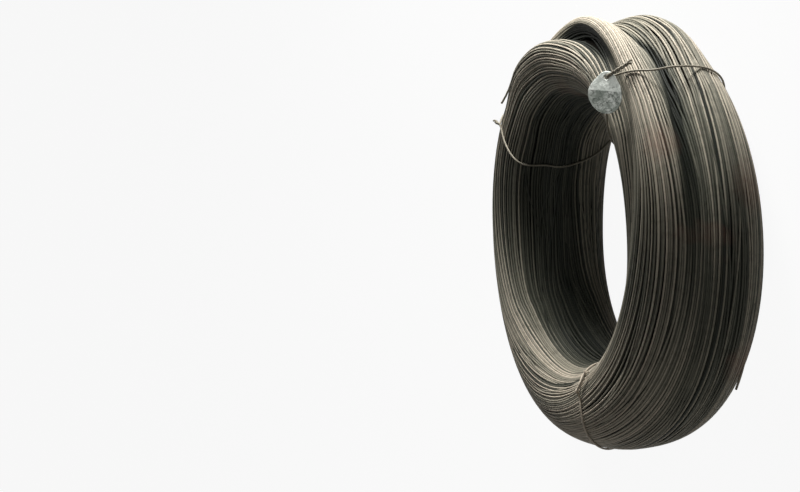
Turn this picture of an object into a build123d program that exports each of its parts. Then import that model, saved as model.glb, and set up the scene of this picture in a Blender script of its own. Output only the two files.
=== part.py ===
"""Coil of soft annealed wire: the wound ring, the three wires that tie it and its metal tag.

The ring lies on its plain face. Z is the axis of its bore, up from the floor to the tagged
face. X points to the ring's right side and Y to its top, as seen from the tagged face.
A ring angle is measured from +X towards +Y. A section angle is measured round the ring's
section, from 0 at the outer rim through 90 at the tagged face and 180 in the bore to 270 on
the floor.
"""

import math
import os

from build123d import *

# The wound ring: its outline and its bore, both a little out of round
ring_width = 361.0
ring_height = 342.0
bore_width = 137.0
bore_height = 207.0

# The ring's breadth along the bore's axis: at its two sides and its top, and at its bottom
side_breadth = 88.0
bottom_breadth = 96.0

# 2 would make the section an ellipse, and more makes it squarer
section_squareness = 2.4

# The bands of turns that show as ridges all round the section, and the dips between them
band_count = 17
band_dip = 1.6

# The deep furrows between the wound bundles. Each has its place round the section, its depth
# where it is deepest and the ring angle of that, from which it fades out towards the far side of
# the ring, half its breadth, how far it wanders round the section, and where it is midway
rim_furrow_angle = 17.0
rim_furrow_depth = 13.0
rim_furrow_deepest_angle = 40.0
rim_furrow_half_angle = 30.0
rim_furrow_swing_angle = 20.0
rim_furrow_turn_angle = 45.0

face_furrow_angle = 79.0
face_furrow_depth = 10.0
face_furrow_deepest_angle = 80.0
face_furrow_half_angle = 27.0
face_furrow_swing_angle = 54.0
face_furrow_turn_angle = 64.0

bore_furrow_angle = 161.0
bore_furrow_depth = 9.0
bore_furrow_deepest_angle = 170.0
bore_furrow_half_angle = 30.0
bore_furrow_swing_angle = 20.0
bore_furrow_turn_angle = 64.0

# The three wires that tie the ring. Each is pulled tight round the section to a knot, where its
# two ends rise side by side and are twisted together. A tie's slant is how far along the ring its
# tagged face lies ahead of its rim. A knot's pull is how far the loop is drawn along the ring to
# it, a post is how high the ends rise, and a heading is which way the twist points, from 0 along
# the ring to 90 round the section
tie_wire_diameter = 1.6
tie_wire_sides = 8
tie_gap = 0.3
tie_bends = 16
twist_pitch = 7.0
twist_bends_per_turn = 4
twist_clearance = 0.2
knot_reach_angle = 45.0

tagged_tie_angle = 55.0
tagged_slant_angle = 0.0
tagged_pull_angle = 7.5
tagged_knot_angle = 73.0
tagged_post = 8.0
tagged_twist_length = 22.0
tagged_heading_angle = 34.0
tagged_rise_angle = 4.0

side_tie_angle = 144.5
side_slant_angle = 13.0
side_pull_angle = -5.0
side_knot_angle = 70.0
side_post = 3.0
side_twist_length = 9.0
side_heading_angle = -70.0
side_rise_angle = 5.0

bottom_tie_angle = 281.0
bottom_slant_angle = 12.0
bottom_pull_angle = 1.0
bottom_knot_angle = 104.0
bottom_post = 3.0
bottom_twist_length = 20.0
bottom_heading_angle = 46.0
bottom_rise_angle = -6.0

# The metal tag: an egg-shaped plate with a crease across it, hung by a hole near its top. It
# faces this way round the bore's axis, and this far up from level
tag_width = 26.5
tag_height = 30.0
tag_thickness = 1.2
tag_shoulder_radius = 7.5
tag_hole_clearance = 0.3
tag_hole_inset = 4.2
tag_crease_inset = 14.5
tag_crease_angle = 24.0
tag_lift = 5.0
tag_facing_angle = 22.0
tag_rise_angle = 48.0

stations = 48

twist_radius = (tie_wire_diameter + twist_clearance) / 2


def sine(angle):
    """Give the sine of an angle in degrees."""
    return math.sin(math.radians(angle))


def cosine(angle):
    """Give the cosine of an angle in degrees."""
    return math.cos(math.radians(angle))


def fade(ring_angle, deepest_angle):
    """Give 1 where a furrow is deepest, falling smoothly to 0 on the far side of the ring."""
    return cosine((ring_angle - deepest_angle) / 2) ** 4


def furrow_marks(ring_angle):
    """List each furrow's place, how far it has wandered, its depth here and half its breadth."""
    return [
        (
            rim_furrow_angle,
            -rim_furrow_swing_angle * sine(ring_angle - rim_furrow_turn_angle),
            rim_furrow_depth * fade(ring_angle, rim_furrow_deepest_angle),
            rim_furrow_half_angle,
        ),
        (
            face_furrow_angle,
            -face_furrow_swing_angle * sine(ring_angle - face_furrow_turn_angle),
            face_furrow_depth * fade(ring_angle, face_furrow_deepest_angle),
            face_furrow_half_angle,
        ),
        (
            bore_furrow_angle,
            -bore_furrow_swing_angle * sine(ring_angle - bore_furrow_turn_angle),
            bore_furrow_depth * fade(ring_angle, bore_furrow_deepest_angle),
            bore_furrow_half_angle,
        ),
    ]


def bundle_shift(section_angle, ring_angle):
    """Give how far round the section the turns have wandered with the furrows beside them."""
    marks = [(place, shift) for place, shift, _, _ in furrow_marks(ring_angle)]
    before = [(place - 360, shift) for place, shift in marks[-1:]]
    after = [(place + 360, shift) for place, shift in marks[:1]]
    marks = before + marks + after
    for (start, first), (end, last) in zip(marks, marks[1:]):
        if start <= section_angle < end:
            return first + (last - first) * (section_angle - start) / (end - start)


def furrow_dip(section_angle, ring_angle):
    """Give how far the bundles' furrows sink the surface below the full outline."""
    dip = 0.0
    for place, _, depth, half_breadth in furrow_marks(ring_angle):
        away = abs((section_angle - place + 180) % 360 - 180) / half_breadth
        if away < 1:
            dip += depth * (1 + cosine(180 * away)) / 2
    return dip


def section_point(section_angle, ring_angle, lift=0.0):
    """Give a point of the section's full outline, radial then upward, lifted off it."""
    sideways = cosine(ring_angle) ** 2
    endways = 1 - sideways
    outer = (ring_width * sideways + ring_height * endways) / 2
    inner = (bore_width * sideways + bore_height * endways) / 2
    below = max(-sine(ring_angle), 0) ** 2
    half_breadth = (side_breadth + (bottom_breadth - side_breadth) * below) / 2
    power = 2 / section_squareness
    across, along = cosine(section_angle), sine(section_angle)
    radial = (outer - inner) / 2 * math.copysign(abs(across) ** power, across)
    upward = half_breadth * math.copysign(abs(along) ** power, along)
    share = 1 + lift / math.hypot(radial, upward)
    return (outer + inner) / 2 + radial * share, half_breadth + upward * share


def section_plane(ring_angle):
    """Give the plane that cuts the ring square at an angle, with its x pointing outwards."""
    return Plane(
        origin=(0, 0, 0),
        x_dir=(cosine(ring_angle), sine(ring_angle), 0),
        z_dir=(sine(ring_angle), -cosine(ring_angle), 0),
    )


def band_points(ring_angle):
    """Give the corners of the ridged section, a ridge and then a dip for each band of turns."""
    step = 180 / band_count
    points = []
    for corner in range(2 * band_count):
        place = step * corner
        sunk = furrow_dip(place, ring_angle) + (band_dip if corner % 2 else 0)
        wandered = place + bundle_shift(place, ring_angle)
        points.append(section_point(wandered, ring_angle, -sunk))
    return points


def surface_point(section_angle, ring_angle, lift):
    """Give a point of space a lift off the ring's full outline."""
    radial, upward = section_point(section_angle, ring_angle, lift)
    return Vector(radial * cosine(ring_angle), radial * sine(ring_angle), upward)


def tie_loop(tie_angle, slant, pull, knot_angle):
    """Give the corners of a wire pulled tight round the section, from its knot and back to it."""
    step = 360 / tie_bends
    bow = (side_breadth + bottom_breadth) / 4 * (1 / cosine(step / 2) - 1)
    points = []
    for bend in range(tie_bends + 1):
        away = step * bend
        pulled = max(1 - min(away, 360 - away) / knot_reach_angle, 0)
        aside = math.degrees(2 * twist_radius * (away / 360 - 0.5) / (ring_height / 2))
        ring_angle = tie_angle + slant * sine(knot_angle + away) + pull * pulled + aside
        lift = tie_gap + tie_wire_diameter / 2 + bow
        points.append(surface_point(knot_angle + away, ring_angle, lift))
    return points


def knot_plane(loop):
    """Give the plane of a loop's knot, with x along the ring and z off its surface."""
    ringwise = loop[-1] - loop[0]
    around = loop[1] - loop[-2]
    middle = (loop[0] + loop[-1]) * 0.5
    return Plane(origin=middle, x_dir=ringwise, z_dir=ringwise.cross(around))


def twisted_end(knot, post, length, heading, rise, strand):
    """Give the corners of one of two twisted ends, from the top of its post to its tip."""
    level = knot.x_dir * cosine(heading) + knot.y_dir * sine(heading)
    axis = level * cosine(rise) + knot.z_dir * sine(rise)
    aside = axis.cross(knot.z_dir).normalized()
    above = aside.cross(axis)
    points = []
    for bend in range(round(length / twist_pitch * twist_bends_per_turn) + 1):
        phase = 360 * bend / twist_bends_per_turn + 180 * strand
        swing = aside * cosine(phase) + above * sine(phase)
        forward = axis * (twist_pitch * bend / twist_bends_per_turn)
        points.append(knot.origin + knot.z_dir * post + forward + swing * twist_radius)
    return points


def tie_wire(name, loop, knot, *twist):
    """Make a tie wire as one sweep, from one twisted tip round the section to the other."""
    corners = twisted_end(knot, *twist, 0)[::-1] + loop + twisted_end(knot, *twist, 1)
    with BuildPart() as tie:
        with BuildLine() as route:
            Polyline(*corners)
        with BuildSketch(Plane(route.line @ 0, z_dir=route.line % 0)):
            RegularPolygon(tie_wire_diameter / 2, tie_wire_sides)
        sweep(transition=Transition.RIGHT)
    tie.part.label = name
    return tie


# The ring closes on its own first section, so that section also ends the loft
ring_sections = []
for station in range(stations):
    station_angle = 360 * station / stations
    with BuildSketch(section_plane(station_angle)) as section:
        with BuildLine():
            Polyline(*band_points(station_angle), close=True)
        make_face()
    ring_sections.append(section.sketch.faces()[0])

with BuildPart() as wire_coil:
    loft(sections=ring_sections + ring_sections[:1])
wire_coil.part.label = "wire_coil"

side_loop = tie_loop(side_tie_angle, side_slant_angle, side_pull_angle, side_knot_angle)
side_tie = tie_wire(
    "side_tie",
    side_loop,
    knot_plane(side_loop),
    side_post,
    side_twist_length,
    side_heading_angle,
    side_rise_angle,
)

bottom_loop = tie_loop(bottom_tie_angle, bottom_slant_angle, bottom_pull_angle, bottom_knot_angle)
bottom_tie = tie_wire(
    "bottom_tie",
    bottom_loop,
    knot_plane(bottom_loop),
    bottom_post,
    bottom_twist_length,
    bottom_heading_angle,
    bottom_rise_angle,
)

# The two ends of the tagged tie rise square to the tag, through its hole
tag_normal = Vector(
    cosine(tag_rise_angle) * cosine(tag_facing_angle),
    cosine(tag_rise_angle) * sine(tag_facing_angle),
    sine(tag_rise_angle),
)
tagged_loop = tie_loop(tagged_tie_angle, tagged_slant_angle, tagged_pull_angle, tagged_knot_angle)
tagged_knot = Plane(
    origin=(tagged_loop[0] + tagged_loop[-1]) * 0.5,
    x_dir=Vector(0, 1, 0).cross(tag_normal),
    z_dir=tag_normal,
)
tagged_tie = tie_wire(
    "tagged_tie",
    tagged_loop,
    tagged_knot,
    tagged_post,
    tagged_twist_length,
    tagged_heading_angle,
    tagged_rise_angle,
)
tag_hole_radius = twist_radius + tie_wire_diameter / 2 + tag_hole_clearance
tag_plane = tagged_knot.offset(tag_lift)
tag_side_plane = Plane(origin=tag_plane.origin, x_dir=tag_plane.y_dir, z_dir=tag_plane.x_dir)
tag_crease = tag_hole_inset - tag_crease_inset
tag_foot = tag_hole_inset - tag_height
tag_fall = math.tan(math.radians(tag_crease_angle)) * (tag_crease - tag_foot)

with BuildPart() as metal_tag:
    with BuildSketch(tag_side_plane):
        with BuildLine():
            Polyline(
                (tag_hole_inset, 0),
                (tag_hole_inset, tag_thickness),
                (tag_crease, tag_thickness),
                (tag_foot, tag_thickness - tag_fall),
                (tag_foot, -tag_fall),
                (tag_crease, 0),
                close=True,
            )
        make_face()
    extrude(amount=tag_width / 2, both=True)
    with BuildSketch(tag_plane):
        with Locations((0, tag_foot + tag_width / 2)):
            Circle(tag_width / 2)
        with Locations((0, tag_hole_inset - tag_shoulder_radius)):
            Circle(tag_shoulder_radius)
        make_hull()
        Circle(tag_hole_radius, mode=Mode.SUBTRACT)
    extrude(amount=tag_height, both=True, mode=Mode.INTERSECT)
metal_tag.part.label = "metal_tag"

# The ring rests on its ties, so everything is raised until the lowest tie touches the floor
ties = [tagged_tie, side_tie, bottom_tie]
lowest = min(tie.part.bounding_box().min.Z for tie in ties)
for piece in [wire_coil, metal_tag] + ties:
    piece.part.move(Location((0, 0, -lowest)))

os.makedirs("parts", exist_ok=True)
export_step(wire_coil.part, "parts/wire_coil.step")
export_step(tagged_tie.part, "parts/tagged_tie.step")
export_step(side_tie.part, "parts/side_tie.step")
export_step(bottom_tie.part, "parts/bottom_tie.step")
export_step(metal_tag.part, "parts/metal_tag.step")
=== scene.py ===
"""Dresses a tied coil of soft annealed wire: its turns, its ties, its tag and a plain studio.

The coil lies on the floor with its tagged face up. A ring angle runs round the bore from +X
towards +Y. A section angle runs round the ring's section, from 0 at the outer rim through 90 at
the tagged face and 180 in the bore to 270 on the floor. Sizes are in metres, angles in degrees.
"""

from __future__ import annotations

import logging
import math
from dataclasses import dataclass
from enum import Enum
from typing import Any, Sequence

import bpy
import numpy as np
from mathutils import Matrix, Vector


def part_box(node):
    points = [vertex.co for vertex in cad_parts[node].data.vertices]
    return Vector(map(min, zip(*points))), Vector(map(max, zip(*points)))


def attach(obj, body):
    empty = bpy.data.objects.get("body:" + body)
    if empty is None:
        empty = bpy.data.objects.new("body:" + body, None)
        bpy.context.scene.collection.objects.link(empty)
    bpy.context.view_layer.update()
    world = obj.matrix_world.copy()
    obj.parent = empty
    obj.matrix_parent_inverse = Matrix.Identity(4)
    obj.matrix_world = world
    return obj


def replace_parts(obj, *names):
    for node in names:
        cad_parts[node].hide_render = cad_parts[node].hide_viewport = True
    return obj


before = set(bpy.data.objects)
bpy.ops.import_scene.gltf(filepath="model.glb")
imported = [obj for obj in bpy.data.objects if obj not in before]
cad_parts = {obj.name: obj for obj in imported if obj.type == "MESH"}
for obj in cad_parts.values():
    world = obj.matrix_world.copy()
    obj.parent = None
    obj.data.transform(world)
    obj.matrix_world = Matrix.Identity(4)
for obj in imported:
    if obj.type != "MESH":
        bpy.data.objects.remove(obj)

LOG = logging.getLogger("wire_coil")
WIRE_DIAMETER = 0.0018
MERGE_DISTANCE = 0.00002

Place = tuple[float, float, float]
Colour = tuple[float, float, float, float]
Span = tuple[float, float]


def rgb(red: float, green: float, blue: float) -> Colour:
    """Give an opaque linear colour."""
    return (red, green, blue, 1.0)


WHITE = rgb(1.0, 1.0, 1.0)


def sine(angle: Any) -> Any:
    """Give the sine of an angle, or of an array of angles, in degrees."""
    return np.sin(np.radians(angle))


def cosine(angle: Any) -> Any:
    """Give the cosine of an angle, or of an array of angles, in degrees."""
    return np.cos(np.radians(angle))


def around(angle: Any) -> Any:
    """Give the same angle, or angles, between -180 and 180 degrees."""
    return (angle + 180) % 360 - 180


def bell(share: Any) -> Any:
    """Give a smooth bell, 1 where the share is 0 and 0 where it is 1."""
    return (1 + cosine(180 * share)) / 2


def axes_at(place: Vector, ahead: Vector, upward: Vector) -> Matrix:
    """Give the frame at a place, with x ahead and z upward."""
    axes = Matrix((ahead, upward.cross(ahead), upward)).transposed().to_4x4()
    return Matrix.Translation(place) @ axes


@dataclass(frozen=True)
class Signal:
    """Wraps a node's output socket, so that shader maths reads as plain expressions."""

    graph: Graph
    socket: bpy.types.NodeSocket | None

    def _maths(self, operation: str, first: Any, second: Any) -> Signal:
        """Add a Math node, given its operation and two numbers or signals."""
        return self.graph.node("ShaderNodeMath", {"operation": operation}, {0: first, 1: second})

    def __add__(self, other: Any) -> Signal:
        """Add."""
        return self._maths("ADD", self, other)

    def __radd__(self, other: Any) -> Signal:
        """Add, with the number first."""
        return self._maths("ADD", other, self)

    def __mul__(self, other: Any) -> Signal:
        """Multiply."""
        return self._maths("MULTIPLY", self, other)

    def __rmul__(self, other: Any) -> Signal:
        """Multiply, with the number first."""
        return self._maths("MULTIPLY", other, self)


class Graph:
    """The node tree of a material or a world, with one method that adds any node."""

    def __init__(self, owner: bpy.types.Material | bpy.types.World) -> None:
        """Empty the owner's node tree.

        Args:
            owner: A new material, or a new world.
        """
        owner.use_nodes = True
        self.owner = owner
        self.tree = owner.node_tree
        self.tree.nodes.clear()

    def node(
        self, kind: str, settings: dict[str, Any], inputs: dict[Any, Any], output: Any = 0
    ) -> Signal:
        """Add a node.

        Args:
            kind: The node's type.
            settings: The node's properties.
            inputs: Socket names or numbers, each with a value or a signal.
            output: The name or number of the socket to give back.

        Returns:
            The chosen output, or the node's first one.
        """
        added = self.tree.nodes.new(kind)
        for name, value in settings.items():
            setattr(added, name, value)
        for name, value in inputs.items():
            if isinstance(value, Signal):
                self.tree.links.new(value.socket, added.inputs[name])
            else:
                added.inputs[name].default_value = value
        return Signal(self, added.outputs[output] if len(added.outputs) else None)

    def place(self) -> Signal:
        """Give the object coordinates."""
        return self.node("ShaderNodeTexCoord", {}, {}, "Object")

    def attribute(self, name: str) -> Signal:
        """Give a number that the mesh's points carry."""
        return self.node("ShaderNodeAttribute", {"attribute_name": name}, {}, "Fac")

    def noise(self, scale: float, detail: float = 3.0, roughness: float = 0.6) -> Signal:
        """Give a random value around one half, with scale blotches a metre and finer layers."""
        inputs = {"Vector": self.place(), "Scale": scale, "Detail": detail, "Roughness": roughness}
        return self.node("ShaderNodeTexNoise", {}, inputs, "Fac")

    def near(self, middle: Place, reach: float) -> Signal:
        """Give how near a place is to a point.

        Args:
            middle: The point, in metres.
            reach: How far off it the value falls to 0.

        Returns:
            1 at the point, falling to 0.
        """
        inputs = {0: self.place(), 1: middle}
        away = self.node("ShaderNodeVectorMath", {"operation": "DISTANCE"}, inputs, "Value")
        return self.ramp(away, reach, 0.0)

    def ramp(self, value: Signal, low: float, high: float) -> Signal:
        """Stretch a value so that low gives 0 and high gives 1, kept within 0 and 1."""
        inputs = {"Value": value, "From Min": low, "From Max": high}
        return self.node("ShaderNodeMapRange", {"clamp": True}, inputs)

    def blend(self, share: Any, first: Any, second: Any) -> Signal:
        """Mix two colours or signals, with the share of the second one."""
        return self.node("ShaderNodeMix", {"data_type": "RGBA"}, {0: share, 6: first, 7: second}, 2)

    def seen(self) -> Signal:
        """Tell what is seen from what only lights the scene.

        Returns:
            1 to the camera, to reflections and to what shows through glass, else 0.
        """
        rays = ("Is Camera Ray", "Is Glossy Ray", "Is Transmission Ray")
        seen, mirrored, through = (self.node("ShaderNodeLightPath", {}, {}, ray) for ray in rays)
        return seen + mirrored + through

    def bump(self, height: Signal, distance: float, strength: float) -> Signal:
        """Turn a height into a normal, where 1 stands the distance, in metres, above 0."""
        inputs = {"Height": height, "Distance": distance, "Strength": strength}
        return self.node("ShaderNodeBump", {}, inputs)

    def finish(self, surface: Signal) -> bpy.types.Material:
        """Send a surface's shader to the material's output, and give the material."""
        self.node("ShaderNodeOutputMaterial", {}, {"Surface": surface})
        return self.owner

    def principled(self, inputs: dict[str, Any]) -> bpy.types.Material:
        """Finish the material with one Principled shader, given its inputs."""
        return self.finish(self.node("ShaderNodeBsdfPrincipled", {}, inputs))


@dataclass(frozen=True)
class OxideFinish:
    """The dull oxide that annealing leaves on soft wire, with its brown and grey tints."""

    name: str = "annealed_wire"
    worn: Colour = rgb(0.50, 0.435, 0.345)
    plain: Colour = rgb(0.214, 0.213, 0.163)
    # The dark colour serves the darkest tones, dusky streaks, and the painted shade on shaded turns
    # and on each wire's flanks.
    dark: Colour = rgb(0.013, 0.0145, 0.011)
    rust: Colour = rgb(0.26, 0.115, 0.08)
    patch_scale: float = 14.0
    streak_scale: float = 160.0
    streak_detail: float = 4.0
    pit_scale: float = 1500.0
    pit_detail: float = 2.0
    pit_depth: float = 0.0001
    pit_strength: float = 0.6
    plain_tints: Span = (0.08, 0.62)
    worn_tints: Span = (0.34, 1.0)
    patch_share: float = 0.2
    # Painted shade: as the crest falls from 0.9 to 0, the wire blends to the dark colour.
    painted_shade_sides: Span = (0.9, 0.0)
    dark_streaks: Span = (0.5, 0.85)
    streak_share: float = 0.5
    rusty_patches: Span = (0.62, 0.80)
    rusty_places: Span = (0.12, 0.85)
    rust_evenness: float = 0.3
    rust_share: float = 0.32
    metallic: float = 0.0
    roughness: float = 0.55
    rough_streaks: Span = (-1.2, 2.0)
    rough_swing: float = 0.5
    specular: float = 0.08
    # The place of each spot, and how far it reaches.
    rust_spots: tuple[tuple[float, float, float, float], ...] = (
        (0.130, 0.096, 0.082, 0.022),
        (0.168, 0.070, 0.020, 0.030),
        (0.160, -0.060, 0.020, 0.030),
    )

    def material(self) -> bpy.types.Material:
        """Make the material.

        Returns:
            The material.
        """
        graph = Graph(bpy.data.materials.new(self.name))
        # This carries each turn's own tone together with the painted light and shade laid on the
        # turns.
        tone_and_painted_light = graph.attribute("tone_and_painted_light")
        patches = graph.noise(self.patch_scale)
        streaks = graph.noise(self.streak_scale, self.streak_detail)
        pits = graph.noise(self.pit_scale, self.pit_detail)
        crest = graph.attribute("crest")
        base = graph.blend(graph.ramp(tone_and_painted_light, *self.plain_tints), self.dark, self.plain)
        # Higher tones blend toward the worn colour, which the painted light band also pushes turns
        # into.
        worn = graph.ramp(tone_and_painted_light + patches * self.patch_share, *self.worn_tints)
        base = graph.blend(worn, base, self.worn)
        # Painted shade on each wire's flanks, where its crest turns away from the outside.
        base = graph.blend(graph.ramp(crest, *self.painted_shade_sides), base, self.dark)
        dusky = graph.ramp(streaks, *self.dark_streaks) * self.streak_share
        base = graph.blend(dusky, base, self.dark)
        rusty = graph.ramp(patches, *self.rusty_patches)
        for *middle, reach in self.rust_spots:
            rusty = rusty + graph.near(tuple(middle), reach)
        rusty = graph.ramp(rusty * (streaks + self.rust_evenness), *self.rusty_places)
        base = graph.blend(rusty * self.rust_share, base, self.rust)
        swing = graph.ramp(streaks, *self.rough_streaks) * self.rough_swing
        inputs = {
            "Base Color": base,
            "Metallic": self.metallic,
            "Specular IOR Level": self.specular,
            "Roughness": swing + (self.roughness - self.rough_swing / 2),
            "Normal": graph.bump(pits, self.pit_depth, self.pit_strength),
        }
        return graph.principled(inputs)


@dataclass(frozen=True)
class ShadeFinish:
    """A near-black inside of the winding, seen only between its turns: painted shade."""

    name: str = "inner_turns_painted_shade"
    light: Colour = rgb(0.012, 0.011, 0.009)
    dark: Colour = rgb(0.002, 0.002, 0.002)
    blotch_scale: float = 120.0
    roughness: float = 0.9
    specular: float = 0.0

    def material(self) -> bpy.types.Material:
        """Make the material.

        Returns:
            The material.
        """
        graph = Graph(bpy.data.materials.new(self.name))
        inputs = {
            "Base Color": graph.blend(graph.noise(self.blotch_scale), self.dark, self.light),
            "Roughness": self.roughness,
            "Specular IOR Level": self.specular,
        }
        return graph.principled(inputs)


@dataclass(frozen=True)
class TagFinish:
    """Dull soft grey metal, with a hammered face that is stained and scored below its crease."""

    name: str = "tag_metal"
    clean: Colour = rgb(0.52, 0.54, 0.50)
    stained: Colour = rgb(0.40, 0.43, 0.39)
    grimy: Colour = rgb(0.17, 0.19, 0.165)
    dark: Colour = rgb(0.03, 0.035, 0.03)
    blotch_scale: float = 150.0
    blotch_detail: float = 4.0
    grain_scale: float = 620.0
    grain_depth: float = 0.0005
    grain_strength: float = 0.8
    score_scale: float = 210.0
    score_detail: float = 1.0
    crease: Span = (0.465, 0.495)
    clean_blotches: Span = (0.38, 0.62)
    grimy_blotches: Span = (0.66, 0.44)
    score_edges: tuple[Span, Span] = ((0.455, 0.49), (0.525, 0.49))
    score_share: float = 0.8
    dark_grains: Span = (0.54, 0.74)
    grain_share: float = 0.6
    metallic: float = 0.65
    roughness: float = 0.4
    rough_blotches: Span = (0.3, 0.7)
    rough_swing: float = 0.25

    def material(self) -> bpy.types.Material:
        """Make the material.

        Returns:
            The material.
        """
        graph = Graph(bpy.data.materials.new(self.name))
        blotches = graph.noise(self.blotch_scale, self.blotch_detail)
        grains = graph.noise(self.grain_scale)
        scores = graph.noise(self.score_scale, self.score_detail)
        below = graph.ramp(graph.attribute("fall"), *self.crease)
        base = graph.blend(graph.ramp(blotches, *self.clean_blotches), self.stained, self.clean)
        base = graph.blend(below * graph.ramp(blotches, *self.grimy_blotches), base, self.grimy)
        near_edge, far_edge = (graph.ramp(scores, *edge) for edge in self.score_edges)
        base = graph.blend(near_edge * far_edge * below * self.score_share, base, self.dark)
        specks = graph.ramp(grains, *self.dark_grains) * self.grain_share
        base = graph.blend(specks, base, self.dark)
        swing = graph.ramp(blotches, *self.rough_blotches) * self.rough_swing
        inputs = {
            "Base Color": base,
            "Metallic": self.metallic,
            "Roughness": self.roughness + swing,
            "Normal": graph.bump(grains, self.grain_depth, self.grain_strength),
        }
        return graph.principled(inputs)


@dataclass(frozen=True)
class FloorFinish:
    """A white floor that the camera and reflections see almost as pure white."""

    name: str = "floor_white"
    colour: Colour = rgb(0.8, 0.8, 0.8)
    seen_white: float = 0.93

    def material(self) -> bpy.types.Material:
        """Make the material.

        Returns:
            The material.
        """
        graph = Graph(bpy.data.materials.new(self.name))
        shown = graph.seen() * self.seen_white
        plain = graph.node("ShaderNodeBsdfDiffuse", {}, {"Color": self.colour})
        white = graph.node("ShaderNodeEmission", {}, {"Color": WHITE, "Strength": 1.0})
        return graph.finish(graph.node("ShaderNodeMixShader", {}, {0: shown, 1: plain, 2: white}))


def deselect() -> None:
    """Leave nothing selected, in object mode."""
    if bpy.context.object and bpy.context.object.mode != "OBJECT":
        bpy.ops.object.mode_set(mode="OBJECT")
    bpy.ops.object.select_all(action="DESELECT")


def select(obj: bpy.types.Object) -> None:
    """Select one object alone and make it active.

    Args:
        obj: The object.
    """
    deselect()
    obj.select_set(True)
    bpy.context.view_layer.objects.active = obj


def linked(name: str, data: bpy.types.ID) -> bpy.types.Object:
    """Make an object and link it to the scene.

    Args:
        name: The object's name.
        data: Its mesh, curve, lamp or camera.

    Returns:
        The object.
    """
    obj = bpy.data.objects.new(name, data)
    bpy.context.scene.collection.objects.link(obj)
    return obj


def solid_copy(node: str, name: str) -> bpy.types.Object:
    """Copy a CAD node's mesh, merged and with its faces outwards.

    Args:
        node: The CAD node.
        name: The new object's name.

    Returns:
        The new object, selected alone.
    """
    obj = linked(name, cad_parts[node].data.copy())
    select(obj)
    bpy.ops.object.mode_set(mode="EDIT")
    bpy.ops.mesh.select_all(action="SELECT")
    bpy.ops.mesh.remove_doubles(threshold=MERGE_DISTANCE)
    bpy.ops.mesh.normals_make_consistent(inside=False)
    bpy.ops.object.mode_set(mode="OBJECT")
    return obj


def modify(obj: bpy.types.Object, kind: str, settings: dict[str, Any]) -> None:
    """Give an object a modifier and apply it.

    Args:
        obj: The object, selected alone.
        kind: The modifier's type.
        settings: The modifier's properties.
    """
    modifier = obj.modifiers.new(kind, kind)
    for name, value in settings.items():
        setattr(modifier, name, value)
    bpy.ops.object.modifier_apply(modifier=modifier.name)


def tubes(
    name: str, routes: Sequence[np.ndarray], diameter: float, sides: int, closed: bool
) -> bpy.types.Object:
    """Make one mesh of round wires that follow routes.

    Args:
        name: The new object's name.
        routes: The points of each wire, in metres.
        diameter: The wire's diameter.
        sides: How many sides a wire has, an even number of at least 4.
        closed: Whether each wire closes on itself.

    Returns:
        The mesh object.
    """
    curve = bpy.data.curves.new(name, "CURVE")
    curve.dimensions = "3D"
    curve.bevel_depth = diameter / 2
    curve.bevel_resolution = (sides - 4) // 2
    curve.use_fill_caps = True
    for route in routes:
        spline = curve.splines.new("POLY")
        spline.points.add(len(route) - 1)
        flat = np.ones((len(route), 4))
        flat[:, :3] = route
        spline.points.foreach_set("co", flat.ravel())
        spline.use_cyclic_u = closed
    select(linked(name, curve))
    bpy.ops.object.convert(target="MESH")
    bpy.ops.object.shade_smooth()
    return bpy.context.object


def places(obj: bpy.types.Object) -> np.ndarray:
    """Read where a mesh's points are.

    Args:
        obj: The mesh object.

    Returns:
        One row a point, in metres.
    """
    found = np.zeros(len(obj.data.vertices) * 3)
    obj.data.vertices.foreach_get("co", found)
    return found.reshape(-1, 3)


def carry(obj: bpy.types.Object, name: str, values: np.ndarray | float) -> None:
    """Store a number on each of a mesh's points, for its material to read.

    Args:
        obj: The mesh object.
        name: The attribute's name.
        values: One value a point, or one for all.
    """
    layer = obj.data.attributes.new(name, "FLOAT", "POINT")
    each = np.broadcast_to(values, len(obj.data.vertices))
    layer.data.foreach_set("value", each.astype(np.float32))


def dress(obj: bpy.types.Object, material: bpy.types.Material) -> None:
    """Give a piece its material and its place in the record.

    Args:
        obj: The piece.
        material: Its material.
    """
    obj.data.materials.clear()
    obj.data.materials.append(material)
    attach(obj, "root")
    LOG.info("%s: %d faces", obj.name, len(obj.data.polygons))


class Layer(Enum):
    """How deep a turn of wire starts below the ring's surface, in metres."""

    TOP = 0.0
    MIDDLE = 0.0016
    DEEP = 0.0032


@dataclass(frozen=True)
class Furrow:
    """A deep furrow between two wound bundles, which fades out towards the ring's far side."""

    place: float
    depth: float
    deepest: float
    half_width: float
    swing: float
    turn: float
    fade: int = 4

    def shift(self, ring_angle: Any) -> Any:
        """Give how far round the section the furrow has wandered, in degrees."""
        return -self.swing * sine(ring_angle - self.turn)

    def dip(self, lay: Any, ring_angle: Any) -> Any:
        """Give how far the furrow sinks the surface.

        Args:
            lay: The turn's own place round the section.
            ring_angle: Where round the ring.

        Returns:
            The depth there, in metres.
        """
        here = self.depth * cosine((ring_angle - self.deepest) / 2) ** self.fade
        away = np.clip(np.abs(around(lay - self.place)) / self.half_width, 0, 1)
        return here * bell(away)


@dataclass(frozen=True)
class Swell:
    """A rounded bulge of turns beside a furrow."""

    place: float
    ring_angle: float
    reach: float
    ring_reach: float
    rise: float

    def lift(self, lay: Any, ring_angle: Any) -> Any:
        """Give how far the bulge raises the surface.

        Args:
            lay: The turn's own place round the section.
            ring_angle: Where round the ring.

        Returns:
            The rise there, in metres.
        """
        away = np.clip(np.abs(around(lay - self.place)) / self.reach, 0, 1)
        along = np.clip(np.abs(around(ring_angle - self.ring_angle)) / self.ring_reach, 0, 1)
        level = bell(along)
        return self.rise * bell(away) * level * (2 - level)


@dataclass(frozen=True)
class Gather:
    """A place where the turns are drawn together and in, or parted where the draw is below 0."""

    place: float
    ring_angle: float
    reach: float
    ring_reach: float
    draw: float
    depth: float


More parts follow.
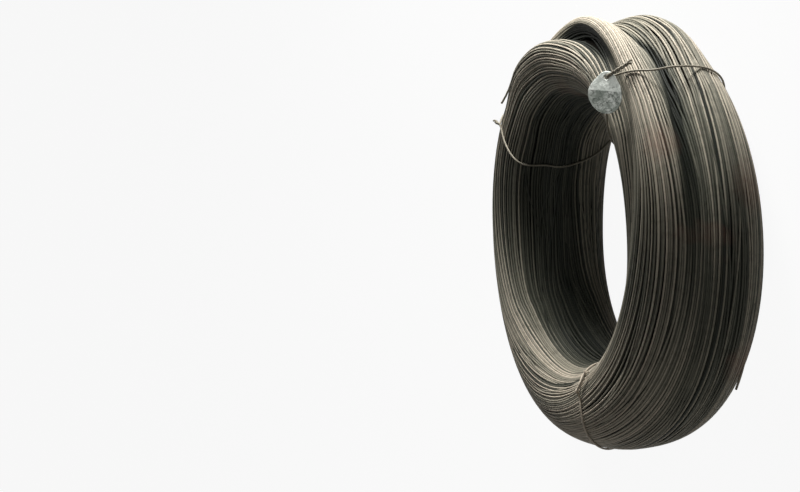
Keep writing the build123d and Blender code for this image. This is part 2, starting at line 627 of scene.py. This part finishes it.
@dataclass
class RingForm:
    """The ring's outline and section."""

    width: float = 0.361
    height: float = 0.342
    bore_width: float = 0.137
    bore_height: float = 0.207
    side_breadth: float = 0.088
    bottom_breadth: float = 0.096
    squareness: float = 2.4
    underside: float = 0.0029
    furrows: tuple[Furrow, ...] = (
        Furrow(place=17.0, depth=0.013, deepest=40.0, half_width=30.0, swing=20.0, turn=45.0),
        Furrow(place=79.0, depth=0.010, deepest=80.0, half_width=27.0, swing=54.0, turn=64.0),
        Furrow(place=161.0, depth=0.009, deepest=170.0, half_width=30.0, swing=20.0, turn=64.0),
    )
    swells: tuple[Swell, ...] = (
        Swell(place=346.0, ring_angle=82.0, reach=36.0, ring_reach=29.0, rise=0.0058),
        Swell(place=40.0, ring_angle=92.0, reach=24.0, ring_reach=30.0, rise=0.0035),
        Swell(place=99.0, ring_angle=121.0, reach=28.0, ring_reach=27.0, rise=0.0062),
    )

    def wander(self, lay: Any, ring_angle: Any) -> Any:
        """Give where a turn lies round the section, led by the furrows beside it.

        Args:
            lay: The turn's own place round the section, from 0 to 360.
            ring_angle: Where round the ring.

        Returns:
            The section angle there.
        """
        first, last = self.furrows[0], self.furrows[-1]
        ends = [(last.place - 360, last.shift(ring_angle))]
        ends += [(furrow.place, furrow.shift(ring_angle)) for furrow in self.furrows]
        ends += [(first.place + 360, first.shift(ring_angle))]
        shift = 0.0
        for (start, before), (stop, after) in zip(ends, ends[1:]):
            share = (lay - start) / (stop - start)
            shift = shift + (before + (after - before) * share) * ((share >= 0) & (share < 1))
        return lay + shift

    def outline(self, section_angle: Any, ring_angle: Any, lift: Any = 0.0) -> tuple[Any, Any]:
        """Give a point of the section's full outline.

        Args:
            section_angle: Where round the section.
            ring_angle: Where round the ring.
            lift: How far off the outline, away from the section's middle.

        Returns:
            The distance from the bore's axis, and the height.
        """
        sideways = cosine(ring_angle) ** 2
        outer = (self.width * sideways + self.height * (1 - sideways)) / 2
        inner = (self.bore_width * sideways + self.bore_height * (1 - sideways)) / 2
        below = np.clip(-sine(ring_angle), 0, None) ** 2
        half = (self.side_breadth + (self.bottom_breadth - self.side_breadth) * below) / 2
        power = 2 / self.squareness
        across, along = cosine(section_angle), sine(section_angle)
        radial = (outer - inner) / 2 * np.sign(across) * np.abs(across) ** power
        upward = half * np.sign(along) * np.abs(along) ** power
        share = 1 + lift / np.hypot(radial, upward)
        return (outer + inner) / 2 + radial * share, self.underside + half + upward * share

    def surface(self, lay: Any, ring_angle: Any) -> tuple[Any, Any]:
        """Give a point of the furrowed surface.

        Args:
            lay: The turn's own place round the section, from 0 to 360.
            ring_angle: Where round the ring.

        Returns:
            The distance from the bore's axis, and the height.
        """
        dip = sum(furrow.dip(lay, ring_angle) for furrow in self.furrows)
        rise = sum(swell.lift(lay, ring_angle) for swell in self.swells)
        return self.outline(self.wander(lay, ring_angle), ring_angle, rise - dip)

    def own_lay(self, section_angle: float, ring_angle: float) -> float:
        """Give which turn's own place lies at a point of the outline.

        Args:
            section_angle: Where round the section.
            ring_angle: Where round the ring.

        Returns:
            The turn's own place round the section.
        """
        lay = np.arange(0.0, 360.0)
        away = around(self.wander(lay, ring_angle) - section_angle)
        return float(lay[np.argmin(np.abs(away))])

    def sink(self, section_angle: float, ring_angle: float) -> float:
        """Give how deep the furrows are at a point of the outline, in metres."""
        lay = self.own_lay(section_angle, ring_angle)
        return float(sum(furrow.dip(lay, ring_angle) for furrow in self.furrows))

    def raised_point(self, section_angle: float, ring_angle: float, lift: float) -> Vector:
        """Give a point of space off the furrowed and swollen surface.

        Args:
            section_angle: Where round the section.
            ring_angle: Where round the ring.
            lift: How far off the surface.

        Returns:
            The point.
        """
        lay = self.own_lay(section_angle, ring_angle)
        rise = float(sum(swell.lift(lay, ring_angle) for swell in self.swells))
        lift = lift + rise - self.sink(section_angle, ring_angle)
        return self.point(section_angle, ring_angle, lift)

    def point(self, section_angle: float, ring_angle: float, lift: float) -> Vector:
        """Give the point of space that stands the lift, in metres, off the full outline."""
        radial, height = self.outline(section_angle, ring_angle, lift)
        return Vector((radial * cosine(ring_angle), radial * sine(ring_angle), height))


@dataclass
class WoundTurns:
    """The turns of wire that show on the ring, laid beside and over each other."""

    form: RingForm
    wire_diameter: float = WIRE_DIAMETER
    top_turns: int = 150
    lower_turns: int = 210
    stations: int = 128
    sides: int = 8
    groups: int = 14
    group_wander: float = 0.0029
    own_wander: float = 0.00045
    stray_share: float = 0.08
    stray_wander: float = 0.0055
    wander_waves: int = 5
    own_lift: float = 0.0006
    lift_waves: int = 9
    wave_fall: float = 0.8
    deepest: float = 0.0055
    cavity: float = 0.009
    relax_rounds: int = 36
    neighbours: int = 10
    least_gap: float = 1e-9
    push: float = 0.22
    pull: float = 0.03
    smooth_rounds: int = 2
    # Painted shade: the turns in the bore are darkened.
    painted_bore_shade: float = 0.78
    bore_place: float = 173.0
    bore_reach: float = 34.0
    # Painted shade: the turns on the outer rim are darkened.
    painted_rim_shade: float = 0.22
    rim_place: float = 354.0
    rim_reach: float = 26.0
    # Painted light: turns near this place round the section are made lighter.
    painted_light: float = 0.34
    painted_light_place: float = 32.0
    painted_light_reach: float = 16.0
    # Painted shade: the ring's sides, near ring angles 0 and 180, are darkened outside the bore.
    painted_side_shade: float = 0.46
    side_power: int = 4
    # Painted shade: turns that lie below the top layer are darkened.
    painted_buried_shade: float = 0.9
    shade_depth: float = 0.0022
    # Painted shade: turns are darkened where the furrows sink deepest.
    painted_furrow_shade: float = 0.8
    furrow_power: int = 4
    tint_mean: float = 0.60
    tint_spread: float = 0.14
    tint_step: float = 0.15
    seed: int = 11
    gathers: tuple[Gather, ...] = (
        Gather(place=92.0, ring_angle=60.0, reach=62.0, ring_reach=16.0, draw=0.62, depth=0.0004),
        Gather(place=80.0, ring_angle=291.0, reach=60.0, ring_reach=13.0, draw=0.70, depth=0.0003),
        Gather(place=106.0, ring_angle=152.0, reach=60.0, ring_reach=10.0, draw=0.25, depth=0.0),
        Gather(place=20.0, ring_angle=290.0, reach=110.0, ring_reach=7.0, draw=0.0, depth=-0.0012),
        Gather(place=73.0, ring_angle=92.0, reach=9.0, ring_reach=18.0, draw=-0.9, depth=0.0045),
        Gather(place=21.0, ring_angle=50.0, reach=4.0, ring_reach=40.0, draw=-0.5, depth=0.0028),
    )
    lower_layers: tuple[Layer, ...] = (Layer.MIDDLE, Layer.DEEP)
    samples: int = 720
    pieces: tuple[str, ...] = ("turns_rim", "turns_face", "turns_bore", "turns_floor")

    def ring_angles(self) -> np.ndarray:
        """Give the stations' ring angles."""
        return 360 * np.arange(self.stations) / self.stations

    def section_angles(self) -> np.ndarray:
        """Give the samples' places round the section, with both ends."""
        return np.arange(self.samples + 1) * 360 / self.samples

    def lay_out(self) -> tuple[np.ndarray, np.ndarray]:
        """Share the turns out round the section, a layer at a time.

        Returns:
            Each turn's share of the way round, in order, and the depth that it starts at.
        """
        top = (np.arange(self.top_turns) + 0.5) / self.top_turns
        lower = (np.arange(self.lower_turns) + 0.5) / self.lower_turns
        depths = [layer.value for layer in self.lower_layers]
        layers = [depths[turn % len(depths)] for turn in range(self.lower_turns)]
        share = np.concatenate([top, lower])
        starts = np.concatenate([np.full(self.top_turns, Layer.TOP.value), layers])
        order = np.argsort(share, kind="stable")
        return share[order], starts[order]

    def about(self, share: np.ndarray, place: float, reach: float, power: int = 2) -> np.ndarray:
        """Give how near each turn is to a place: 1 there, and about a third at the reach."""
        away = around(share * 360 - place)
        return np.exp(-((away / reach) ** power))

    def harmonics(self, rng: np.random.Generator, rows: int, waves: int) -> np.ndarray:
        """Give smooth random curves that close on themselves.

        Args:
            rng: The source of randomness.
            rows: How many curves.
            waves: How many waves the finest part makes in one turn.

        Returns:
            One row a curve and one column a station, about 1 in size.
        """
        angles = np.radians(self.ring_angles())
        total = np.zeros((rows, self.stations))
        for wave in range(1, waves + 1):
            phase = rng.uniform(0, 2 * math.pi, (rows, 1))
            size = rng.normal(0, 1, (rows, 1)) / wave**self.wave_fall
            total += size * np.cos(wave * angles + phase)
        return total / total.std()

    def tables(self) -> tuple[np.ndarray, ...]:
        """Measure the section at each station.

        Returns:
            The run round the section, and the radius, height and outward normal at each sample.
        """
        section = self.section_angles()[:, None]
        radius, height = self.form.surface(section, self.ring_angles()[None, :])
        step = np.hypot(np.diff(radius, axis=0), np.diff(height, axis=0))
        run = np.vstack([np.zeros((1, self.stations)), np.cumsum(step, axis=0)])
        along_r = np.gradient(radius, axis=0)
        along_z = np.gradient(height, axis=0)
        size = np.hypot(along_r, along_z)
        return run, radius, height, along_z / size, -along_r / size

    def smoothed(self, values: np.ndarray) -> np.ndarray:
        """Even out each turn's values a little from station to station."""
        beside = (np.roll(values, 1, axis=1) + np.roll(values, -1, axis=1)) / 2
        return values * 0.5 + beside * 0.5

    def gather_in(self, place: np.ndarray, run: np.ndarray) -> tuple[np.ndarray, np.ndarray]:
        """Draw the turns together at each gather, or part them.

        Args:
            place: Each turn's place round the section at each station.
            run: The run round the section at each sample and station.

        Returns:
            The new places, and how much deeper each turn lies.
        """
        angles, section = self.ring_angles(), self.section_angles()
        deeper = np.zeros_like(place)
        for gather in self.gathers:
            centre = np.array([np.interp(gather.place, section, column) for column in run.T])
            reach = run[-1] * gather.reach / 360
            ringwise = np.exp(-((around(angles - gather.ring_angle) / gather.ring_reach) ** 2))
            away = place - centre
            near = np.exp(-((away / reach) ** 2)) * ringwise
            place = place - away * near * gather.draw
            deeper = deeper + near * gather.depth
        return place, deeper

    def relax(
        self, run: np.ndarray, deep: np.ndarray, whole: np.ndarray
    ) -> tuple[np.ndarray, np.ndarray]:
        """Push turns that overlap apart, and keep each one smooth.

        Args:
            run: Each turn's place round the section at each station.
            deep: Each turn's depth below the surface.
            whole: The length round the section at each station.

        Returns:
            The mended places and depths.
        """
        for _ in range(self.relax_rounds):
            move, sink = np.zeros_like(run), np.zeros_like(deep)
            for step in range(1, self.neighbours + 1):
                apart = np.roll(run, -step, axis=0) - run
                apart -= whole * np.round(apart / whole)
                under = np.roll(deep, -step, axis=0) - deep
                gap = np.hypot(apart, under) + self.least_gap
                push = np.clip(self.wire_diameter - gap, 0, None) / gap * self.push
                move -= apart * push
                sink -= under * push
                move += np.roll(apart * push, step, axis=0)
                sink += np.roll(under * push, step, axis=0)
            run = run + move
            deep = np.clip(deep + sink, 0, self.deepest)
            deep = deep - self.pull * deep
            for _ in range(self.smooth_rounds):
                run = self.smoothed(run / whole) * whole
                deep = self.smoothed(deep)
        return run, deep

    def routes(self) -> tuple[np.ndarray, ...]:
        """Lay every turn.

        Returns:
            By turn and station, the points, the ways outward and how buried the turn is, from 0
            to 1. Then each turn's share round the section.
        """
        rng = np.random.default_rng(self.seed)
        angles, section = self.ring_angles(), self.section_angles()
        run, *tables = self.tables()
        whole = run[-1][None, :]
        share, starts = self.lay_out()
        spots = np.arange(self.groups + 1) / self.groups
        field = self.harmonics(rng, self.groups, self.wander_waves)
        grouped = [np.interp(share, spots, np.append(column, column[0])) for column in field.T]
        place = np.array([np.interp(share * 360, section, column) for column in run.T]).T
        place = place + np.array(grouped).T * self.group_wander
        stray = rng.random(len(share)) < self.stray_share
        wander = np.where(stray, self.stray_wander, self.own_wander)
        place = place + self.harmonics(rng, len(share), self.wander_waves) * wander[:, None]
        starts = np.where(stray, Layer.TOP.value, starts)
        lifts = np.abs(self.harmonics(rng, len(share), self.lift_waves))
        deep = starts[:, None] + lifts * self.own_lift
        place, gathered = self.gather_in(place, run)
        place, deep = self.relax(place, deep, whole)
        deep = np.clip(deep + gathered, 0, self.cavity) + self.wire_diameter / 2
        radius, height, normal_r, normal_z = (
            np.array([np.interp(*columns) for columns in zip((place % whole).T, run.T, table.T)]).T
            for table in tables
        )
        out = radius - normal_r * deep
        along_x, along_y = cosine(angles), sine(angles)
        points = np.stack([out * along_x, out * along_y, height - normal_z * deep], axis=2)
        outward = np.stack([normal_r * along_x, normal_r * along_y, normal_z], axis=2)
        buried = np.clip((deep - self.wire_diameter / 2) / self.shade_depth, 0, 1)
        return points, outward, buried, share

    def turn_tones_and_painted_light(self, share: np.ndarray, buried: np.ndarray) -> np.ndarray:
        """Give each turn's tone at each station, with painted light and painted shade laid on it.

        Args:
            share: Each turn's share of the way round the section.
            buried: How buried each turn is at each station.

        Returns:
            0 where a turn is dark, up to a little over 1 where painted light brightens it.
        """
        rng = np.random.default_rng(self.seed + 1)
        step = self.tint_step * (1 - 2 * (np.floor(share * self.top_turns) % 2))
        tone_and_painted_light = np.clip(rng.normal(self.tint_mean, self.tint_spread, len(share)) + step, 0, 1)
        # Painted light: lighten the turns near the painted light place.
        tone_and_painted_light = tone_and_painted_light + self.painted_light * self.about(share, self.painted_light_place, self.painted_light_reach)
        # Painted shade in the bore, strongest round the bore place.
        bore = self.about(share, self.bore_place, self.bore_reach, power=4)
        # Painted shade on the outer rim.
        rim = self.about(share, self.rim_place, self.rim_reach)
        painted_shade = self.painted_bore_shade * bore + self.painted_rim_shade * rim
        angles = self.ring_angles()[None, :]
        # The furrows' depth share sets the painted shade in the furrows.
        depth = self.form.furrows[0].depth
        dips = [furrow.dip(share[:, None] * 360, angles) / depth for furrow in self.form.furrows]
        sunk = np.clip(sum(dips), 0, 1) ** self.furrow_power
        # Painted shade on the ring's sides, left off in the bore.
        painted_side_mask = (1 - bore)[:, None] * cosine(angles) ** self.side_power
        # Painted shade on turns that lie deeper than the top layer.
        light = (tone_and_painted_light * (1 - painted_shade))[:, None] * (1 - self.painted_buried_shade * buried)
        return light * (1 - self.painted_furrow_shade * sunk) * (1 - self.painted_side_shade * painted_side_mask)

    def build(self, material: bpy.types.Material) -> list[bpy.types.Object]:
        """Make the turns as four pieces, a quarter of the section each.

        Args:
            material: The wire's finish, which darkens where a wire's crest is low, as painted shade
                on its flanks.

        Returns:
            The pieces.
        """
        points, outward, buried, share = self.routes()
        turn_tones_and_painted_light = self.turn_tones_and_painted_light(share, buried)
        # A quarter is centred on 0, 90, 180 or 270 degrees of the section.
        quarters = np.floor((share * len(self.pieces) + 0.5) % len(self.pieces))
        built = []
        for index, name in enumerate(self.pieces):
            quarter = quarters == index
            obj = tubes(name, list(points[quarter]), self.wire_diameter, self.sides, True)
            offset = places(obj).reshape(-1, self.sides, 3) - points[quarter].reshape(-1, 1, 3)
            above = (offset * outward[quarter].reshape(-1, 1, 3)).sum(axis=2)
            carry(obj, "tone_and_painted_light", np.repeat(turn_tones_and_painted_light[quarter].ravel(), self.sides))
            # The crest drives the painted shade on each wire's flanks.
            carry(obj, "crest", (above * 2 / self.wire_diameter).ravel())
            dress(obj, material)
            built.append(obj)
        return built


@dataclass
class InnerTurns:
    """The body of the winding under the turns that show, near-black as painted shade between the
    turns.
    """

    depth: float = 0.0052

    def build(self, material: bpy.types.Material) -> bpy.types.Object:
        """Make the body from the ring's own solid, drawn in.

        Args:
            material: Its finish.

        Returns:
            The piece.
        """
        obj = solid_copy("wire_coil", "inner_turns_painted_shade")
        bpy.ops.object.mode_set(mode="EDIT")
        bpy.ops.mesh.select_all(action="SELECT")
        bpy.ops.transform.shrink_fatten(value=-self.depth)
        bpy.ops.object.mode_set(mode="OBJECT")
        bpy.ops.object.shade_smooth()
        dress(obj, material)
        return obj


@dataclass
class LooseEnd:
    """An end of the wound wire, which leaves its neighbours and springs a little off the ring."""

    name: str
    form: RingForm
    section_angle: float
    start: float
    stop: float
    spring: float
    spring_power: int = 4
    sway: float = 3.0
    diameter: float = WIRE_DIAMETER
    sides: int = 8
    bends: int = 40
    tone_and_painted_light: float = 0.6
    # A fixed crest, so that the painted flank shade darkens the end evenly.
    crest: float = 0.7

    def build(self, material: bpy.types.Material) -> bpy.types.Object:
        """Make the end as one short wire.

        Args:
            material: Its finish.

        Returns:
            The piece.
        """
        points = []
        for bend in range(self.bends + 1):
            share = bend / self.bends
            angle = self.start + (self.stop - self.start) * share
            section_angle = self.section_angle + self.sway * sine(360 * share)
            lift = self.spring * share**self.spring_power - self.diameter * (1 - share)
            points.append(tuple(self.form.raised_point(section_angle, angle, lift)))
        obj = tubes(self.name, [np.array(points)], self.diameter, self.sides, False)
        carry(obj, "tone_and_painted_light", self.tone_and_painted_light)
        carry(obj, "crest", self.crest)
        dress(obj, material)
        return obj


@dataclass
class TieWire:
    """A wire pulled tight round the ring, with its two ends twisted together."""

    name: str
    form: RingForm
    ring_angle: float
    slant: float
    pull: float
    knot_place: float
    post: float
    twist_length: float
    heading: float
    rise: float
    knot_facing: Vector | None = None
    diameter: float = 0.0016
    gap: float = 0.0003
    knot_reach: float = 45.0
    pitch: float = 0.007
    pitch_steps: int = 12
    spread: float = 0.0018
    flare: float = 0.9
    flare_length: float = 0.2
    slack_power: int = 4
    hug: float = 1.0
    bends: int = 90
    sides: int = 10
    smooth_rounds: int = 3
    tone_and_painted_light: float = 0.6

    def loop(self) -> list[Vector]:
        """Lead the wire round the section.

        Returns:
            The points, from the knot and back to it.
        """
        points = []
        for bend in range(self.bends + 1):
            away = 360 * bend / self.bends
            pulled = max(1 - min(away, 360 - away) / self.knot_reach, 0)
            aside = math.degrees(self.spread * (away / 360 - 0.5) / (self.form.height / 2))
            section_angle = self.knot_place + away
            angle = self.ring_angle + self.slant * sine(section_angle) + self.pull * pulled + aside
            below = max(-sine(section_angle), 0) ** self.slack_power
            slack = (self.form.underside - self.diameter - self.gap) * below
            sunk = self.hug * self.form.sink(section_angle, angle)
            lift = self.gap + self.diameter / 2 + slack - sunk
            points.append(self.form.point(section_angle, angle, lift))
        return points

    def knot(self, loop: list[Vector]) -> Matrix:
        """Give the knot's axes and place, with x along the ring and z off its surface.

        Args:
            loop: The points round the section.

        Returns:
            A matrix from the knot's own frame to the world.
        """
        ringwise = (loop[-1] - loop[0]).normalized()
        upward = ringwise.cross(loop[2] - loop[-3]).normalized()
        if self.knot_facing:
            upward = self.knot_facing
            ringwise = Vector((0, 1, 0)).cross(upward).normalized()
        return axes_at((loop[0] + loop[-1]) / 2, ringwise, upward)

    def end(self, knot: Matrix, strand: int) -> list[Vector]:
        """Give one twisted end, from its post to its tip.

        Args:
            knot: The knot's frame.
            strand: 0 or 1, for the two ends.

        Returns:
            The end's points.
        """
        level = Vector((cosine(self.heading), sine(self.heading), 0))
        axis = level * cosine(self.rise) + Vector((0, 0, sine(self.rise)))
        aside = axis.cross(Vector((0, 0, 1))).normalized()
        above = aside.cross(axis)
        count = round(self.twist_length / self.pitch * self.pitch_steps)
        points = []
        for step in range(count + 1):
            phase = 360 / self.pitch_steps * step + 180 * strand
            late = max(step / count - (1 - self.flare_length), 0)
            reach = self.spread / 2 * (1 + self.flare * late / self.flare_length)
            swing = (aside * cosine(phase) + above * sine(phase)) * reach
            forward = axis * (self.pitch * step / self.pitch_steps)
            points.append(knot @ (Vector((0, 0, self.post)) + forward + swing))
        return points

    def build(self, material: bpy.types.Material) -> bpy.types.Object:
        """Make the tie as one wire.

        Args:
            material: Its finish.

        Returns:
            The piece.
        """
        loop = self.loop()
        knot = self.knot(loop)
        points = self.end(knot, 0)[::-1] + loop + self.end(knot, 1)
        route = np.array([tuple(point) for point in points])
        for _ in range(self.smooth_rounds):
            route[1:-1] = route[1:-1] * 0.5 + (route[2:] + route[:-2]) * 0.25
        obj = tubes(self.name + "_wire", [route], self.diameter, self.sides, False)
        carry(obj, "tone_and_painted_light", self.tone_and_painted_light)
        # The tone also sets the crest, so a tie's painted flank shade fades as its tone rises.
        carry(obj, "crest", self.tone_and_painted_light)
        dress(obj, material)
        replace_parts(obj, self.name)
        return obj


@dataclass
class MetalTag:
    """The small creased tag that hangs on a tie's twisted ends."""

    turn: float = 22.0
    tilt: float = 48.0
    voxel: float = 0.00035
    dent_size: float = 0.004
    dent_detail: int = 1
    dent_depth: float = 0.0007
    soft_factor: float = 0.5
    soft_rounds: int = 3

    def normal(self) -> Vector:
        """Give the way that the tag faces."""
        level = cosine(self.tilt)
        return Vector((level * cosine(self.turn), level * sine(self.turn), sine(self.tilt)))

    def build(self, material: bpy.types.Material) -> bpy.types.Object:
        """Make the tag from its own solid, with worn edges and dents.

        Args:
            material: Its finish.

        Returns:
            The piece.
        """
        clouds = bpy.data.textures.new("dents", "CLOUDS")
        clouds.noise_scale = self.dent_size
        clouds.noise_depth = self.dent_detail
        dents = {"texture": clouds, "texture_coords": "LOCAL", "direction": "Z"}
        obj = solid_copy("metal_tag", "tag_plate")
        modify(obj, "REMESH", {"mode": "VOXEL", "voxel_size": self.voxel})
        modify(obj, "DISPLACE", {**dents, "strength": self.dent_depth})
        modify(obj, "SMOOTH", {"factor": self.soft_factor, "iterations": self.soft_rounds})
        bpy.ops.object.shade_smooth()
        normal = self.normal()
        uphill = normal.cross(Vector((0, 1, 0)).cross(normal)).normalized()
        along = places(obj) @ np.array(uphill)
        carry(obj, "fall", (along.max() - along) / (along.max() - along.min()))
        dress(obj, material)
        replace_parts(obj, "metal_tag")
        return obj


@dataclass
class Studio:
    """The floor, the lamps and the camera."""

    floor_size: float = 30.0
    camera_place: Place = (0.9597, 0.2394, 0.5592)
    camera_right: Place = (0.4636, 0.0371, -0.8853)
    camera_up: Place = (-0.2073, 0.9759, -0.0677)
    lens: float = 62.56
    sensor: float = 36.0
    shift: Span = (-0.2664, -0.0167)
    view_depth: float = 60.0
    world_strength: float = 0.045
    aim: Place = (0.0, 0.0, 0.05)
    # The name of each lamp, its place, its size and its power in watts.
    lamps: tuple[tuple[str, Place, float, float], ...] = (
        ("key", (-0.32, 1.25, 0.25), 0.46, 43.0),
        ("fill", (1.05, -0.85, 0.9), 0.45, 2.3),
    )

    def build(self, floor_finish: bpy.types.Material) -> None:
        """Make the floor, the lamps, the world and the camera.

        Args:
            floor_finish: The floor's material.
        """
        deselect()
        bpy.ops.mesh.primitive_plane_add(size=self.floor_size, location=(0, 0, 0))
        floor = bpy.context.object
        floor.name = "studio_floor"
        floor.data.materials.append(floor_finish)
        self.light()
        self.world()
        self.camera()
        bpy.context.scene.view_settings.view_transform = "Standard"

    def light(self) -> None:
        """Make the lamps, each turned to the aim."""
        for name, place, size, power in self.lamps:
            data = bpy.data.lights.new(name, "AREA")
            data.size = size
            data.energy = power
            lamp = linked(name, data)
            lamp.location = place
            way = Vector(self.aim) - Vector(place)
            lamp.rotation_euler = way.to_track_quat("-Z", "Y").to_euler()

    def camera(self) -> None:
        """Make the camera, turned on its side so that the lying ring shows upright."""
        data = bpy.data.cameras.new("camera")
        data.lens = self.lens
        data.sensor_width = self.sensor
        data.shift_x, data.shift_y = self.shift
        data.clip_end = self.view_depth
        right = Vector(self.camera_right).normalized()
        back = right.cross(Vector(self.camera_up)).normalized()
        camera = linked("camera", data)
        camera.matrix_world = axes_at(Vector(self.camera_place), right, back)
        bpy.context.scene.camera = camera

    def world(self) -> None:
        """Light the scene evenly, and show the camera and reflections plain white."""
        world = bpy.data.worlds.new("studio")
        bpy.context.scene.world = world
        graph = Graph(world)
        soft = graph.node("ShaderNodeBackground", {}, {"Strength": self.world_strength})
        white = graph.node("ShaderNodeBackground", {}, {"Color": WHITE})
        mixed = graph.node("ShaderNodeMixShader", {}, {0: graph.seen(), 1: soft, 2: white})
        graph.node("ShaderNodeOutputWorld", {}, {"Surface": mixed})


def main() -> None:
    """Build the coil and its studio."""
    logging.basicConfig(level=logging.INFO, format="%(name)s: %(message)s")
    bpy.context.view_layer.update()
    form = RingForm(underside=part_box("wire_coil")[0].z)
    wire = OxideFinish().material()
    for piece in WoundTurns(form).build(wire):
        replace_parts(piece, "wire_coil")
    # The winding's inside is a near-black body: painted shade between the turns.
    InnerTurns().build(ShadeFinish().material())
    tag = MetalTag()
    ties = (
        TieWire(
            "tagged_tie", form, ring_angle=55.0, slant=0.0, pull=7.5, knot_place=73.0,
            post=0.008, twist_length=0.022, heading=34.0, rise=4.0, knot_facing=tag.normal(),
            hug=0.0,
        ),
        TieWire(
            "side_tie", form, ring_angle=144.5, slant=13.0, pull=-5.0, knot_place=70.0,
            post=0.003, twist_length=0.009, heading=-70.0, rise=5.0,
        ),
        # The bottom tie is made lighter and loses its flank shade: painted light, as it faces away
        # from the key lamp.
        TieWire(
            "bottom_tie", form, ring_angle=281.0, slant=12.0, pull=1.0, knot_place=104.0,
            post=0.003, twist_length=0.020, heading=46.0, rise=-6.0, tone_and_painted_light=1.0,
        ),
    )
    tie_finish = OxideFinish(name="tie_wire", roughness=0.45).material()
    for tie in ties:
        tie.build(tie_finish)
    tag.build(TagFinish().material())
    ends = (
        LooseEnd(
            "turns_end_left", form, section_angle=56.0, start=118.0, stop=147.0, spring=0.0045
        ),
        LooseEnd(
            "turns_end_right", form, section_angle=331.0, start=354.0, stop=330.5, spring=0.0028
        ),
    )
    for end in ends:
        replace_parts(end.build(wire), "wire_coil")
    Studio().build(FloorFinish().material())


if __name__ == "__main__":
    main()
